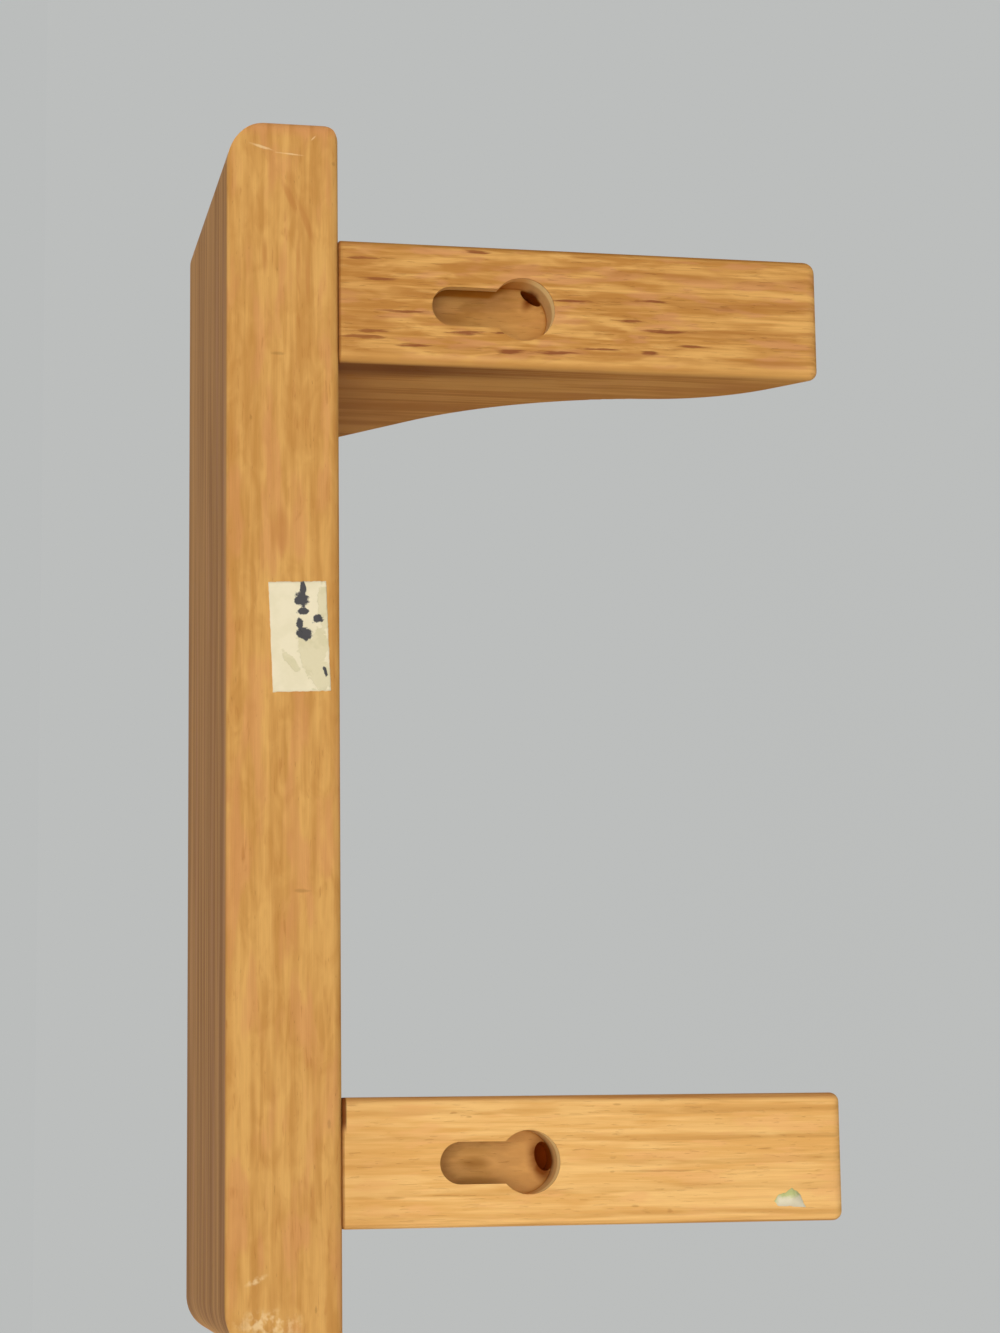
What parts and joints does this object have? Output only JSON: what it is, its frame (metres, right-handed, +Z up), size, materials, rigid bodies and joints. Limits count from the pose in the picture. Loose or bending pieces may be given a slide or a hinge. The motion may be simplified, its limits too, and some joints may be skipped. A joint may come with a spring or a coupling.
{
  "type": "wall display shelf",
  "caption": "Small solid oak wall shelf: a round-edged board on two corbel brackets, hung on wall screws by a routed keyhole in the back of each bracket.",
  "frame": {"origin": "on the wall plane, midway between the brackets and level with the wall screws' shanks in the closed ends of the keyhole slots", "axes": "+X along the board to the right end as seen from the front, +Y out of the shelf's back into the wall, +Z up"},
  "size_m": [0.1854, 0.0636, 0.0932],
  "materials": {
    "board_oak": "satin lacquer, fine flat-sawn grain along the board",
    "bracket_left_oak": "satin lacquer, upright grain with reddish flecks",
    "bracket_right_oak": "satin lacquer, straight upright grain",
    "dowel_beech": "bare, glued in",
    "label_paper": "matte, yellowed and worn",
    "sticker_paper": "matte, torn"
  },
  "bodies": {
    "root": {"shelf_board": "board_oak", "bracket_left": "bracket_left_oak", "bracket_right": "bracket_right_oak", "bracket_left_dowel_rear": "dowel_beech", "bracket_left_dowel_front": "dowel_beech", "bracket_right_dowel_rear": "dowel_beech", "bracket_right_dowel_front": "dowel_beech", "paper_label": "label_paper", "sticker_scrap": "sticker_paper"}
  },
  "joints": []
}
